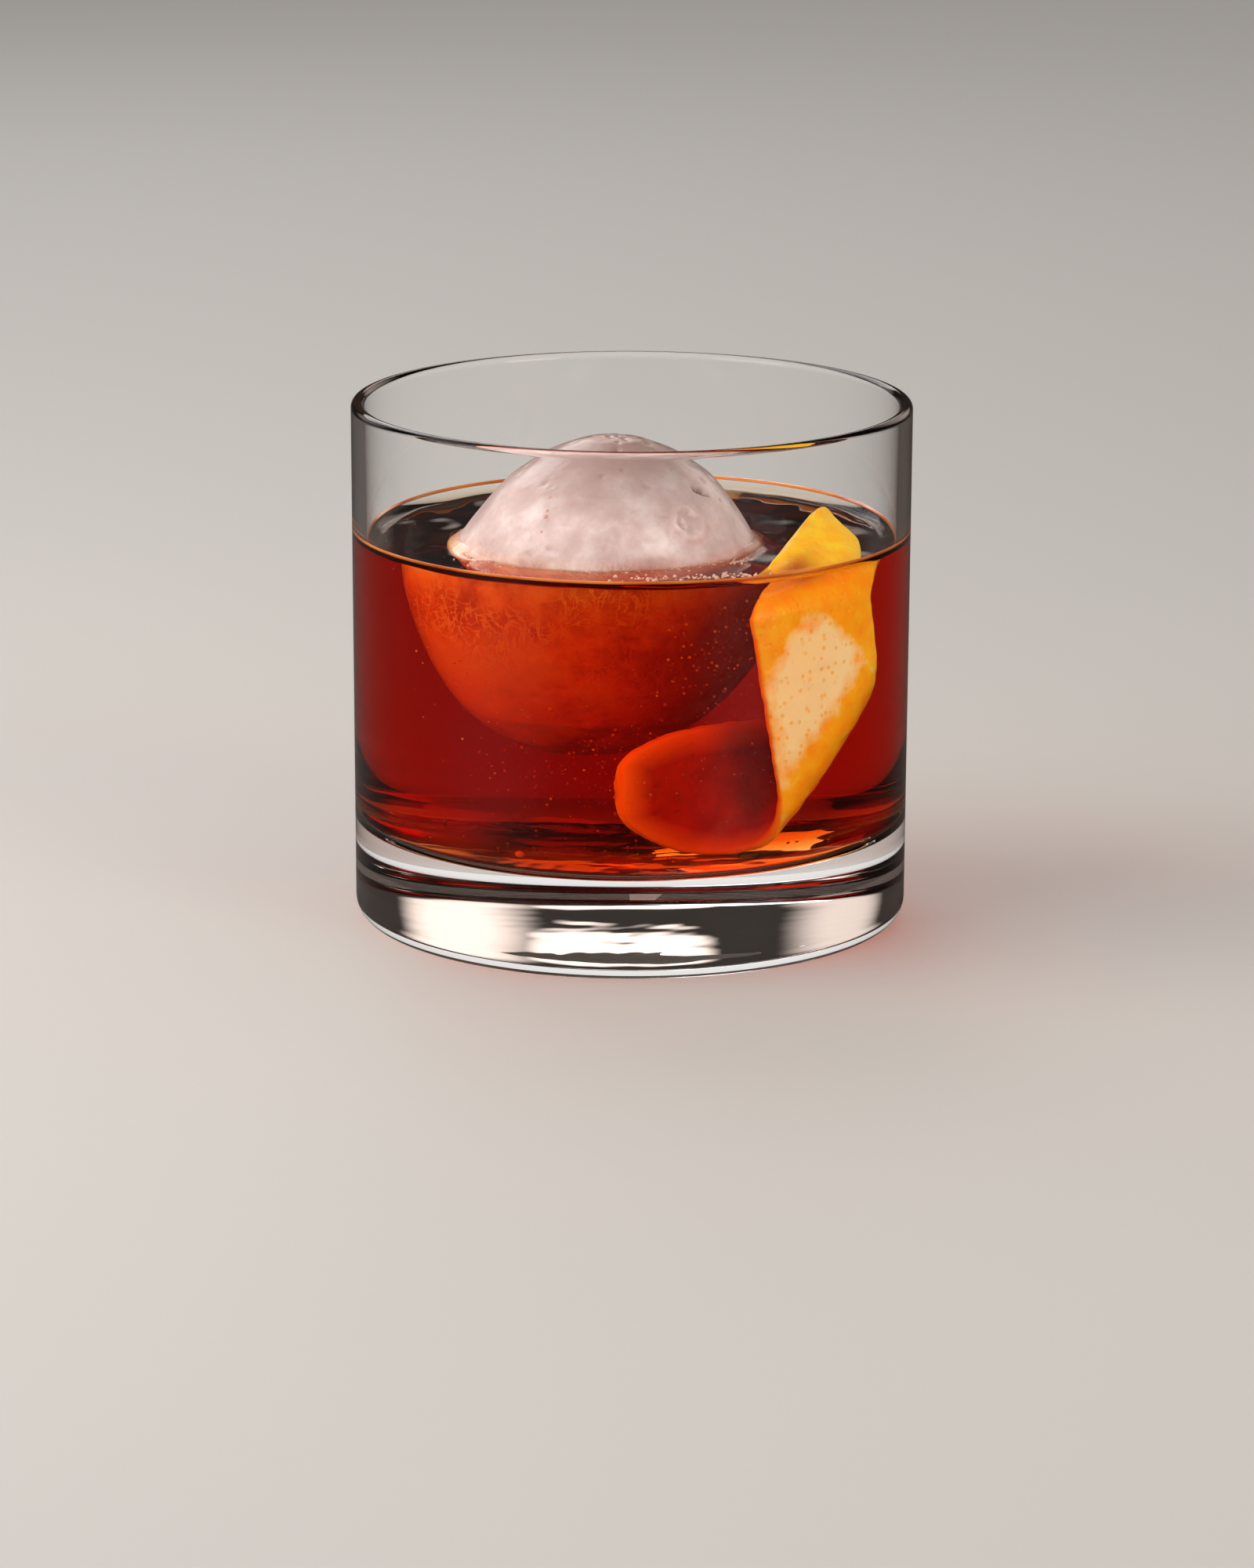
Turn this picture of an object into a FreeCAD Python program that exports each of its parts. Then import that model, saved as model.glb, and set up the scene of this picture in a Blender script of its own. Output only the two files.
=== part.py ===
# Old fashioned: a heavy-based tumbler with the drink, one big ball of ice and a twist of orange peel.
# Millimetres, +Z up. The origin is the middle of the footprint; the front of the glass faces -Y.
import FreeCAD, Part
import math
import os

# Tumbler
rim_radius = 42.5        # outside, at the lip
base_radius = 42.1       # outside, at the foot
glass_height = 80.0
wall = 2.0               # at the lip
wall_low = 2.4           # just above the floor
floor_height = 14.5      # top of the solid base
corner_radius = 6.0      # inside, floor to wall
heel_radius = 3.4        # outside, foot to wall
punt_radius = 33.0       # shallow hollow under the base
punt_depth = 1.0

# Drink
level = 59.0             # flat part of the surface
meniscus_rise = 1.3      # how far it climbs the wall
meniscus_reach = 2.6     # how far in from the wall the climb begins

# Ice ball, half melted: a round top, straight shoulders and a rounder underside
ice_top = 75.2
ice_radius = 23.4        # at the widest, a little under the surface
ice_wide_at = 57.0       # height of the widest part
ice_bottom = 28.4
ice_x = -3.9
ice_y = -5.0
ice_depth_ratio = 0.90   # front to back against side to side
ice_lean = 0.07          # sideways drift of the form for each mm of height

# Orange peel: one strip. Its sheet is laid against the right of the front wall, its top end is bent
# back over the drink and its lower end is folded behind on a slanting line.
peel_length = 78.0
peel_width = 22.6
peel_thickness = 2.2
peel_azimuth = -50.4     # degrees: where the sheet faces the wall
peel_distance = 38.0     # from the axis to the outer face of the sheet
peel_bow = 75.0          # radius of the sheet's own curve across the front
peel_shift = 3.1         # sideways place of the strip in the sheet
peel_tilt = 0.185         # sideways drift for each mm downwards
peel_top_height = 53.6   # where the backward bend begins
peel_top_length = 18.6   # length of the strip above that line
peel_top_radius = 4.7    # of the backward bend
peel_top_angle = 68.0    # degrees from upright
peel_top_drift = 18.0    # how far the tip wanders sideways
peel_top_lift = 0.1     # rise of the tip's outer side for each mm of width
peel_tip_length = 14.0   # over which the strip widens from its tip
peel_tip_width = 4.0
peel_fold_height = 32.9  # of the slanting fold above the middle of the strip
peel_fold_angle = 45.5   # degrees from level
peel_fold_radius = 6.6   # at the outer face
peel_end_length = 25.0   # of the rounded lower end
peel_end_width = 5.0
peel_end_drop = 1.2      # how far the lower end sags behind the fold


def revolve(face):
    return face.revolve(FreeCAD.Vector(0, 0, 0), FreeCAD.Vector(0, 0, 1), 360)


def point(r, z):
    return FreeCAD.Vector(r, 0, z)


def line(a, b):
    return Part.makeLine(a, b)


def arc(a, middle, b):
    return Part.Arc(a, middle, b).toShape()


def corner(centre, radius, degrees):
    a = math.radians(degrees)
    return point(centre[0] + radius * math.cos(a), centre[1] + radius * math.sin(a))


def inner_radius(z):
    low = base_radius - wall_low
    share = (z - floor_height) / (glass_height - floor_height)
    return low + (rim_radius - wall - low) * share


def inner_corner():
    """Centre of the rounded corner between floor and wall."""
    return inner_radius(floor_height + corner_radius) - corner_radius, floor_height + corner_radius


def glass():
    heel = (base_radius - heel_radius, heel_radius)
    inner = inner_corner()
    lip = wall / 2
    ring_edge = point(heel[0], 0)
    heel_top = point(base_radius, heel_radius)
    outer_top = point(rim_radius, glass_height - lip)
    inner_top = point(rim_radius - wall, glass_height - lip)
    inner_low = corner(inner, corner_radius, 0)
    floor_edge = corner(inner, corner_radius, -90)
    punt_edge = point(punt_radius, 0)
    edges = [
        arc(point(0, punt_depth), point(punt_radius * 0.52, punt_depth * 0.74), punt_edge),
        line(punt_edge, ring_edge),
        arc(ring_edge, corner(heel, heel_radius, -45), heel_top),
        line(heel_top, outer_top),
        arc(outer_top, point(rim_radius - lip, glass_height), inner_top),
        line(inner_top, inner_low),
        arc(inner_low, corner(inner, corner_radius, -45), floor_edge),
        line(floor_edge, point(0, floor_height)),
        line(point(0, floor_height), point(0, punt_depth)),
    ]
    return revolve(Part.Face(Part.Wire(edges)))


def liquid():
    inner = inner_corner()
    inner_low = corner(inner, corner_radius, 0)
    floor_edge = corner(inner, corner_radius, -90)
    top = level + meniscus_rise
    wall_top = point(inner_radius(top), top)
    flat_edge = point(inner_radius(level) - meniscus_reach, level)
    middle = point(wall_top.x - meniscus_reach * 0.34, level + meniscus_rise * 0.36)
    edges = [
        line(point(0, floor_height), floor_edge),
        arc(floor_edge, corner(inner, corner_radius, -45), inner_low),
        line(inner_low, wall_top),
        arc(wall_top, middle, flat_edge),
        line(flat_edge, point(0, level)),
        line(point(0, level), point(0, floor_height)),
    ]
    return revolve(Part.Face(Part.Wire(edges)))


def ice_ball():
    rise = ice_top - ice_wide_at
    drop = ice_wide_at - ice_bottom
    profile = [
        (0.0, rise), (0.2, 0.975 * rise), (0.38, 0.89 * rise), (0.5, 0.8 * rise), (0.65, 0.66 * rise),
        (0.79, 0.455 * rise), (0.92, 0.22 * rise), (0.985, 0.08 * rise), (1.0, 0.0),
        (0.99, -0.09 * drop), (0.95, -0.24 * drop), (0.88, -0.41 * drop), (0.77, -0.59 * drop),
        (0.61, -0.77 * drop), (0.4, -0.905 * drop), (0.2, -0.975 * drop), (0.0, -drop),
    ]
    spline = Part.BSplineCurve()
    spline.interpolate(
        Points=[point(ice_radius * r, z) for r, z in profile],
        InitialTangent=FreeCAD.Vector(1, 0, 0),
        FinalTangent=FreeCAD.Vector(-1, 0, 0),
    )
    outline = spline.toShape()
    axis = line(point(0, -drop), point(0, rise))
    ball = revolve(Part.Face(Part.Wire([outline, axis])))
    form = FreeCAD.Matrix()
    form.A22 = ice_depth_ratio
    form.A13 = ice_lean
    form.A14, form.A24, form.A34 = ice_x, ice_y, ice_wide_at
    return ball.transformGeometry(form)


def peel_half_width(along):
    """Half the strip's width, at a distance from the tip."""
    tip = min(1.0, along / peel_tip_length)
    end = min(1.0, (peel_length - along) / peel_end_length)
    narrow = peel_tip_width + (peel_width - peel_tip_width) * math.sin(math.pi / 2 * tip) ** 0.9
    rounded = peel_end_width + (peel_width - peel_end_width) * math.sqrt(1 - (1 - end) ** 2)
    return min(narrow, rounded) / 2


def peel_point(along, across, inward):
    """A point of the strip: mm from the tip, -1 to 1 across, mm in from its outer face."""
    high = peel_top_length - along
    side = peel_shift + across * peel_half_width(along)
    lift = 0.0
    if high > 0:
        share = high / peel_top_length
        side += peel_top_drift * share ** 1.5
        lift = peel_top_lift * across * peel_half_width(along) * min(1.0, high / 8.0)
    else:
        side -= peel_tilt * high
    up = peel_top_height + high
    depth, out = 0.0, inward

    # slanting fold low in the strip
    slant = math.radians(peel_fold_angle)
    beyond = (side - peel_shift) * math.sin(slant) - (up - peel_fold_height) * math.cos(slant)
    if beyond > 0:
        turn = min(beyond / peel_fold_radius, math.pi)
        past = beyond - turn * peel_fold_radius
        radius = peel_fold_radius - inward
        move = radius * math.sin(turn) - past - beyond
        side += move * math.sin(slant)
        up -= move * math.cos(slant)
        depth = peel_fold_radius - radius * math.cos(turn)
        up -= peel_end_drop * (along / peel_length) ** 6
        out = 0.0
    # backward bend near the top
    elif high > 0:
        turn = min(high / peel_top_radius, math.radians(peel_top_angle))
        past = high - turn * peel_top_radius
        radius = peel_top_radius - inward
        depth = peel_top_radius - radius * math.cos(turn) + past * math.sin(turn)
        up = peel_top_height + radius * math.sin(turn) + past * math.cos(turn) + lift
        out = 0.0

    depth += out + side * side / (2 * peel_bow)
    facing = math.radians(peel_azimuth)
    away = peel_distance - depth
    return FreeCAD.Vector(
        away * math.cos(facing) - side * math.sin(facing),
        away * math.sin(facing) + side * math.cos(facing),
        up,
    )


def peel_sheet(inward):
    """One broad face of the strip as a surface: along it first, then across."""
    steps = 30
    across = [-1.0, -0.6, -0.2, 0.2, 0.6, 1.0]
    rows = [[peel_point(peel_length * i / steps, t, inward) for t in across] for i in range(steps + 1)]
    sheet = Part.BSplineSurface()
    sheet.interpolate(rows)
    return sheet


def rims(sheet):
    u0, u1, v0, v1 = sheet.bounds()
    return [curve.toShape() for curve in (sheet.uIso(u0), sheet.uIso(u1), sheet.vIso(v0), sheet.vIso(v1))]


def orange_peel():
    outer, inner = peel_sheet(0.0), peel_sheet(peel_thickness)
    faces = [outer.toShape(), inner.toShape()]
    faces += [Part.makeRuledSurface(a, b, 1) for a, b in zip(rims(outer), rims(inner))]
    shell = Part.makeShell(faces)
    shell.sewShape()
    solid = Part.makeSolid(shell)
    if solid.Volume < 0:
        solid.reverse()
    return solid


def export(shape, node):
    shape.exportStep("parts/" + node + ".step")


os.makedirs("parts", exist_ok=True)
ball = ice_ball()
peel = orange_peel()
export(glass(), "glass")
export(liquid().cut(ball).cut(peel).Solids[0], "drink")
export(ball, "ice_ball")
export(peel, "orange_peel")
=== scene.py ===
import math

import bpy
import numpy as np
from mathutils import Matrix


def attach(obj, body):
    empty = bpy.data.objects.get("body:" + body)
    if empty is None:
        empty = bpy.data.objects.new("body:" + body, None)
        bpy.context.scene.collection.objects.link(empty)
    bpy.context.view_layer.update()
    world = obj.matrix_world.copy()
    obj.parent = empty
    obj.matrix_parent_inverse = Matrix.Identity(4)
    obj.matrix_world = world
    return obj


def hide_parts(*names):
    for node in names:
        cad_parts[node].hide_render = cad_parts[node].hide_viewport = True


MM = 0.001

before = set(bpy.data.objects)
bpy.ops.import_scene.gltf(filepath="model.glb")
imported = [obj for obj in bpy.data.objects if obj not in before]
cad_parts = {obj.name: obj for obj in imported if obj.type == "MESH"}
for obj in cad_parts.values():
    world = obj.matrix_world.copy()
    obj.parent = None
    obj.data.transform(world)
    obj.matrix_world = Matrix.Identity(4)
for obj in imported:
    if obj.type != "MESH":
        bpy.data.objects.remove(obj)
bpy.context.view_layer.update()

# ---------------------------------------------------------------- sizes, in millimetres and degrees
# glass: outside radii, wall at the lip and low down, floor, rounded corners, hollow under the base
RIM_RADIUS, BASE_RADIUS, GLASS_HEIGHT = 42.5, 42.1, 80.0
WALL, WALL_LOW, FLOOR_HEIGHT = 2.0, 2.4, 14.5
CORNER_RADIUS, HEEL_RADIUS = 6.0, 3.4
PUNT_RADIUS, PUNT_DEPTH = 33.0, 1.0

# drink: level, climb at the wall and at the ice, and how far it reaches into the wall
LEVEL = 59.0
MENISCUS_RISE, MENISCUS_REACH = 1.3, 2.6
ICE_CLIMB, ICE_CLIMB_REACH = 1.0, 0.9
INTO_WALL = 0.12

# ball of ice: heights of its top, widest part and bottom, its place, its lean in mm per mm of height
ICE_TOP, ICE_RADIUS, ICE_WIDE_AT, ICE_BOTTOM = 75.2, 23.4, 57.0, 28.4
ICE_X, ICE_Y, ICE_DEPTH_RATIO, ICE_LEAN = -3.9, -5.0, 0.86, 0.07

# peel: the flat strip, where it stands and how its face bows
PEEL_LENGTH, PEEL_WIDTH, PEEL_THICKNESS = 78.0, 22.6, 2.2
PEEL_AZIMUTH, PEEL_DISTANCE, PEEL_BOW, PEEL_SHIFT = -50.4, 38.0, 75.0, 3.1
# its slant below the top, and its backward bend there
PEEL_TILT, PEEL_TOP_HEIGHT, PEEL_TOP_LENGTH = 0.185, 53.6, 18.6
PEEL_TOP_RADIUS, PEEL_TOP_ANGLE, PEEL_TOP_DRIFT, PEEL_TOP_LIFT = 4.7, 62.0, 16.2, 0.1
# the swell and the narrowing of its right edge: how much, how far from the tip, over what length
PEEL_SHOULDER, PEEL_SHOULDER_AT, PEEL_SHOULDER_LENGTH = 1.3, 9.0, 3.0
PEEL_WAIST, PEEL_WAIST_AT, PEEL_WAIST_LENGTH = 0.35, 13.5, 3.2
# its cut tip, the slanting fold and the rounded end behind
PEEL_TIP_LENGTH, PEEL_TIP_WIDTH = 14.0, 4.0
PEEL_FOLD_HEIGHT, PEEL_FOLD_ANGLE, PEEL_FOLD_RADIUS = 32.9, 45.5, 6.6
PEEL_END_LENGTH, PEEL_END_WIDTH, PEEL_END_DROP = 25.0, 5.0, 1.2

# unevenness of each surface: height, length and seed of every ripple (the peel's edge: share of its half width)
BASE_WAVES = ((0.05, 9, 21), (0.02, 3.5, 22))
ICE_WAVES = ((0.26, 26, 3), (0.07, 9, 4), (0.025, 3.4, 5))
PEEL_EDGE_WAVES = ((0.014, 7, 11), (0.010, 2.2, 12))
PEEL_FACE_WAVES = ((0.13, 6, 13), (0.08, 2.4, 14))
DRINK_WAVES = ((0.13, 14, 31), (0.03, 6, 32))

# every draw below comes from here, in the order in which the pieces are built
chance = np.random.default_rng(7)


# ---------------------------------------------------------------- meshes
def show(name, mesh):
    """Smooth-shaded object at the origin that carries the mesh."""
    mesh.polygons.foreach_set("use_smooth", np.ones(len(mesh.polygons), dtype=bool))
    piece = bpy.data.objects.new(name, mesh)
    bpy.context.scene.collection.objects.link(piece)
    return piece


def skin(name, points, pole_start=None, pole_end=None, flip=False, round_rows=False):
    """Mesh of a grid of points, rows by columns.

    Columns join round. Rows may join round too, or a pole point closes either end with a fan.
    """
    rows, columns = points.shape[:2]
    vertices = points.reshape(-1, 3)
    index = np.arange(rows * columns).reshape(rows, columns)
    index = np.vstack([index, index[:1]]) if round_rows else index
    across = np.roll(index, -1, axis=1)
    quads = np.stack([index[:-1], across[:-1], across[1:], index[1:]], axis=-1).reshape(-1, 4)
    triangles = []
    for pole, ring, at_start in ((pole_start, index[0], True), (pole_end, index[-1], False)):
        if pole is None:
            continue
        vertices = np.vstack([vertices, np.asarray(pole)[None]])
        tip = np.full(columns, len(vertices) - 1)
        after = np.roll(ring, -1)
        triangles.append(np.stack([after, ring, tip] if at_start else [ring, after, tip], axis=-1))
    loops = np.concatenate([quads.reshape(-1)] + [fan.reshape(-1) for fan in triangles])
    corners = np.concatenate([np.full(len(quads), 4)] + [np.full(len(fan), 3) for fan in triangles])
    starts = np.concatenate([[0], np.cumsum(corners)[:-1]])
    mesh = bpy.data.meshes.new(name)
    mesh.vertices.add(len(vertices))
    mesh.vertices.foreach_set("co", (vertices * MM).astype(np.float32).reshape(-1))
    mesh.loops.add(len(loops))
    mesh.loops.foreach_set("vertex_index", loops.astype(np.int32))
    mesh.polygons.add(len(corners))
    mesh.polygons.foreach_set("loop_start", starts.astype(np.int32))
    mesh.update(calc_edges=True)
    mesh.validate()
    if flip:
        mesh.flip_normals()
    return show(name, mesh)


def paint_points(piece, label, values):
    """Stores one number for each point of a piece, its two pole points last."""
    layer = piece.data.attributes.new(label, "FLOAT", "POINT")
    layer.data.foreach_set("value", values.astype(np.float32))


def around(segments):
    """Angles of a full turn, in equal steps."""
    return np.linspace(0, 2 * np.pi, segments, endpoint=False)


def swept_round(profile, turn):
    """Rings of a profile of (radius, height) pairs: radius times cosine and sine of the turn, then the height."""
    return np.stack([
        profile[:, :1] * np.cos(turn), profile[:, :1] * np.sin(turn),
        np.repeat(profile[:, 1:], len(turn), axis=1),
    ], axis=-1)


def smooth_curve(points, count, fine=2000):
    """Catmull-Rom curve through the points, evenly spaced in its own length.

    Between two points it is the cubic whose slope at each is half the step between its neighbours.
    """
    p = np.asarray(points, dtype=float)
    p = np.vstack([2 * p[0] - p[1], p, 2 * p[-1] - p[-2]])
    t = np.linspace(0, len(p) - 3 - 1e-9, fine)
    k = t.astype(int)
    f = (t - k)[:, None]
    a, b, c, d = p[k], p[k + 1], p[k + 2], p[k + 3]
    q = 0.5 * (2 * b + (c - a) * f + (2 * a - 5 * b + 4 * c - d) * f**2 + (3 * b - a - 3 * c + d) * f**3)
    run = np.concatenate([[0], np.cumsum(np.linalg.norm(np.diff(q, axis=0), axis=1))])
    even = np.linspace(0, run[-1], count)
    return np.stack([np.interp(even, run, q[:, i]) for i in range(q.shape[1])], axis=1)


def ripple(points, size, seed, waves=9):
    """Smooth unevenness from about -1 to 1: sine waves in random directions, about `size` mm long."""
    source = np.random.default_rng(seed)
    total = np.zeros(points.shape[:-1])
    for _ in range(waves):
        direction = source.normal(size=3)
        direction /= np.linalg.norm(direction)
        wave = size * source.uniform(0.6, 1.7)
        total += np.sin(points @ direction * 2 * np.pi / wave + source.uniform(0, 6.28))
    return total / (waves / 2)


def uneven(points, waves):
    """Sum of ripples, each with its own height, length and seed."""
    return sum(height * ripple(points, size, seed) for height, size, seed in waves)


def arc_points(centre, radius, start, end, count):
    """Arc of a profile: the centre plus the radius times cosine and sine, from start to end in degrees."""
    a = np.radians(np.linspace(start, end, count))
    return np.stack([centre[0] + radius * np.cos(a), centre[1] + radius * np.sin(a)], axis=1)


def inner_radius(z):
    """Inside radius of the wall at a height: a straight taper from the floor to the lip."""
    low = BASE_RADIUS - WALL_LOW
    return low + (RIM_RADIUS - WALL - low) * (z - FLOOR_HEIGHT) / (GLASS_HEIGHT - FLOOR_HEIGHT)


# centre of the rounded corner between the inside wall and the floor
CORNER = (inner_radius(FLOOR_HEIGHT + CORNER_RADIUS) - CORNER_RADIUS, FLOOR_HEIGHT + CORNER_RADIUS)


# ---------------------------------------------------------------- glass
def fire_polished(points):
    """Faint waviness of the inner floor and of the hollow underneath, fading to nothing at their edges."""
    radius, z = np.hypot(points[..., 0], points[..., 1]), points[..., 2]
    inside = (np.abs(z - FLOOR_HEIGHT) < 0.01) & (radius < CORNER[0] + 0.01)
    under = (z < PUNT_DEPTH + 0.01) & (radius < PUNT_RADIUS)
    on_floor, in_hollow = 1 - (radius / CORNER[0]) ** 4, 0.7 * (1 - (radius / PUNT_RADIUS) ** 2)
    fade = np.where(inside, on_floor, np.where(under, in_hollow, 0))
    return uneven(points * [1, 1, 0], BASE_WAVES) * np.clip(fade, 0, 1)


def tumbler(segments=256, punt_steps=44, wall_steps=22, floor_steps=54):
    """Turned closed profile: hollow under the base, foot ring, heel, outside wall, round lip, inside wall, floor."""
    lip = WALL / 2
    r = np.linspace(0, PUNT_RADIUS, punt_steps)
    punt = np.stack([r, PUNT_DEPTH * (1 - (r / PUNT_RADIUS) ** 2)], axis=1)
    # close rings at both ends of the walls keep them straight in the light up to their rounded edges
    heights = np.concatenate([[0.002, 0.01], np.linspace(0, 1, wall_steps)[1:-1], [0.99, 0.998]])[:, None]
    outer_low, outer_top = np.array([BASE_RADIUS, HEEL_RADIUS]), np.array([RIM_RADIUS, GLASS_HEIGHT - lip])
    inner_top = np.array([RIM_RADIUS - WALL, GLASS_HEIGHT - lip])
    inner_low = np.array([CORNER[0] + CORNER_RADIUS, CORNER[1]])
    floor_radii = np.linspace(CORNER[0], 0, floor_steps)[1:]
    profile = np.vstack([
        punt,
        arc_points((BASE_RADIUS - HEEL_RADIUS, HEEL_RADIUS), HEEL_RADIUS, -90, 0, 14),
        outer_low + (outer_top - outer_low) * heights,
        arc_points((RIM_RADIUS - lip, GLASS_HEIGHT - lip), lip, 0, 180, 17),
        inner_top + (inner_low - inner_top) * heights,
        arc_points(CORNER, CORNER_RADIUS, 0, -90, 16),
        np.stack([floor_radii, np.full(len(floor_radii), FLOOR_HEIGHT)], axis=1),
    ])
    points = swept_round(profile[1:-1], around(segments))
    points[..., 2] += fire_polished(points)
    return skin("glass", points, (0, 0, profile[0, 1]), (0, 0, profile[-1, 1]))


# ---------------------------------------------------------------- ice
# the melted ball's outline: share of its radius, then share of its height above or below its widest part
ICE_PROFILE = [
    (0.0, 1.0), (0.2, 0.975), (0.38, 0.89), (0.5, 0.8), (0.65, 0.66), (0.79, 0.455), (0.92, 0.22),
    (0.985, 0.08), (1.0, 0.0), (0.99, -0.09), (0.95, -0.24), (0.88, -0.41), (0.77, -0.59),
    (0.61, -0.77), (0.4, -0.905), (0.2, -0.975), (0.0, -1.0),
]

# a nick of three hollows and two ringed dimples on its right shoulder:
# place, radius, depth, height of the ring round it, darkness of the painted shade in the hollow
ICE_SCARS = (
    ((9.7, -13.9, 69.2), 0.7, 0.7, 0, 0.8),
    ((10.4, -13.3, 68.6), 0.8, 1.0, 0.2, 1.0),
    ((11.2, -12.9, 68.0), 0.6, 0.7, 0.2, 0.7),
    ((8.6, -20.0, 65.3), 2.0, 0.5, 0.45, 0.0),
    ((7.0, -20.8, 65.0), 1.0, 0.3, 0.3, 0.0),
)
# melt pits: share of the points that are one, least and greatest size, depth as a share of size, and reach
PIT_SHARE, PIT_SMALL, PIT_LARGE, PIT_DEPTH, PIT_REACH = 0.0035, 0.25, 0.6, 0.5, 2.0


def ice_outline(z):
    """Radius of the ball at a height, read off its outline."""
    above, below = ICE_TOP - ICE_WIDE_AT, ICE_WIDE_AT - ICE_BOTTOM
    share = np.where(z > ICE_WIDE_AT, (z - ICE_WIDE_AT) / above, (z - ICE_WIDE_AT) / below)
    table = np.array(ICE_PROFILE)[::-1]
    return ICE_RADIUS * np.interp(share, table[:, 1], table[:, 0])


def ice_depth(height):
    """Half the ball's depth at a height above its widest part: half its width times the depth ratio, fuller in the
    crown by 0.75 of s times (1 - s) to the power 0.6, where s is the share of the rise to the top."""
    full = ice_outline(height + ICE_WIDE_AT) * ICE_DEPTH_RATIO
    share = np.clip(height / (ICE_TOP - ICE_WIDE_AT), 0, 1)
    return full * (1 + 0.75 * share * (1 - share) ** 0.6)


def from_ice_axis(x, y, z):
    """Distance from the ball's leaning axis, with depth scaled to count as width."""
    return np.hypot(x - ICE_X - ICE_LEAN * (z - ICE_WIDE_AT), (y - ICE_Y) / ICE_DEPTH_RATIO)


def ice_ball(rows=240, columns=330, fine=2400, pole=0.35):
    """Outline turned about Z, narrowed front to back and leaned, then pushed along its normal by melt ripples.
    Scars and pits dent it by their depth times e to the minus square of distance over size, and a scar's ring
    stands up round it in the same way, 1.25 sizes out."""
    table = np.array(ICE_PROFILE)
    table[:, 0] *= ICE_RADIUS
    table[:, 1] *= np.where(table[:, 1] > 0, ICE_TOP - ICE_WIDE_AT, ICE_WIDE_AT - ICE_BOTTOM)
    # the outline runs on past both poles, so that the curve is level there
    curve = smooth_curve(np.vstack([table[1] * [-1, 1], table, table[-2] * [-1, 1]]), fine)
    curve = curve[curve[:, 0] > pole]
    curve = curve[np.linspace(0, len(curve) - 1, rows).astype(int)]
    turn = around(columns)
    out = np.stack([np.cos(turn), np.sin(turn)], axis=-1)
    points = np.zeros((rows, columns, 3))
    points[..., 0] = curve[:, :1] * out[:, 0]
    points[..., 1] = ice_depth(curve[:, 1])[:, None] * out[:, 1]
    points[..., 2] = curve[:, 1:]
    slope = np.gradient(curve, axis=0)
    slope /= np.linalg.norm(slope, axis=1)[:, None]
    normal = np.stack([
        -slope[:, 1:] * out[:, 0], -slope[:, 1:] * out[:, 1], np.repeat(slope[:, :1], columns, axis=1),
    ], axis=-1)
    points += normal * uneven(points, ICE_WAVES)[..., None]
    points[..., 0] += ICE_X + ICE_LEAN * points[..., 2]
    points[..., 1] += ICE_Y
    points[..., 2] += ICE_WIDE_AT
    # each scar's darkness is painted shade in its hollow, stored on the points for the material
    hollow_shade = np.zeros((rows, columns))
    for centre, radius, depth, ring, shade in ICE_SCARS:
        gap = np.linalg.norm(points - np.array(centre), axis=-1) / radius
        points -= normal * (depth * np.exp(-gap**2) - ring * np.exp(-(((gap - 1.25) / 0.35) ** 2)))[..., None]
        hollow_shade = np.maximum(hollow_shade, shade * np.exp(-((gap * 1.1) ** 2)))
    for row, column in np.argwhere(chance.random((rows, columns)) < PIT_SHARE):
        gap = np.linalg.norm(points - points[row, column], axis=-1)
        near = gap < PIT_REACH
        size = chance.uniform(PIT_SMALL, PIT_LARGE)
        points[near] -= normal[near] * (size * PIT_DEPTH * np.exp(-(gap[near] / size) ** 2))[:, None]
    top = points[0].mean(axis=0) + [0, 0, 0.02]
    bottom = points[-1].mean(axis=0) - [0, 0, 0.02]
    piece = skin("ice_ball", points, top, bottom, flip=True)
    paint_points(piece, "hollow_shade", np.concatenate([hollow_shade.reshape(-1), [0, 0]]))
    return piece


# ---------------------------------------------------------------- peel
def peel_half_width(along):
    """Half the strip's width at a distance from its tip: a quarter of a sine wave opens the cut tip,
    and a quarter of an ellipse rounds off the far end."""
    tip = np.clip(along / PEEL_TIP_LENGTH, 0, 1)
    end = np.clip((PEEL_LENGTH - along) / PEEL_END_LENGTH, 0, 1)
    narrow = PEEL_TIP_WIDTH + (PEEL_WIDTH - PEEL_TIP_WIDTH) * np.sin(np.pi / 2 * tip) ** 0.9
    rounded = PEEL_END_WIDTH + (PEEL_WIDTH - PEEL_END_WIDTH) * np.sqrt(1 - (1 - end) ** 2)
    return np.minimum(narrow, rounded) / 2


def before_fold(along, across):
    """Distance on the flat strip from the slanting fold, positive on the front leaf: height above the fold times
    the slant's cosine, less the distance to the side times its sine."""
    side = across * peel_half_width(along) + PEEL_TILT * (along - PEEL_TOP_LENGTH)
    up = PEEL_TOP_HEIGHT + PEEL_TOP_LENGTH - along
    slant = math.radians(PEEL_FOLD_ANGLE)
    return (up - PEEL_FOLD_HEIGHT) * math.cos(slant) - side * math.sin(slant)


def bell(distance, centre, length):
    """e to the minus square of the distance from a centre over a length."""
    return np.exp(-(((distance - centre) / length) ** 2))


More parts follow.
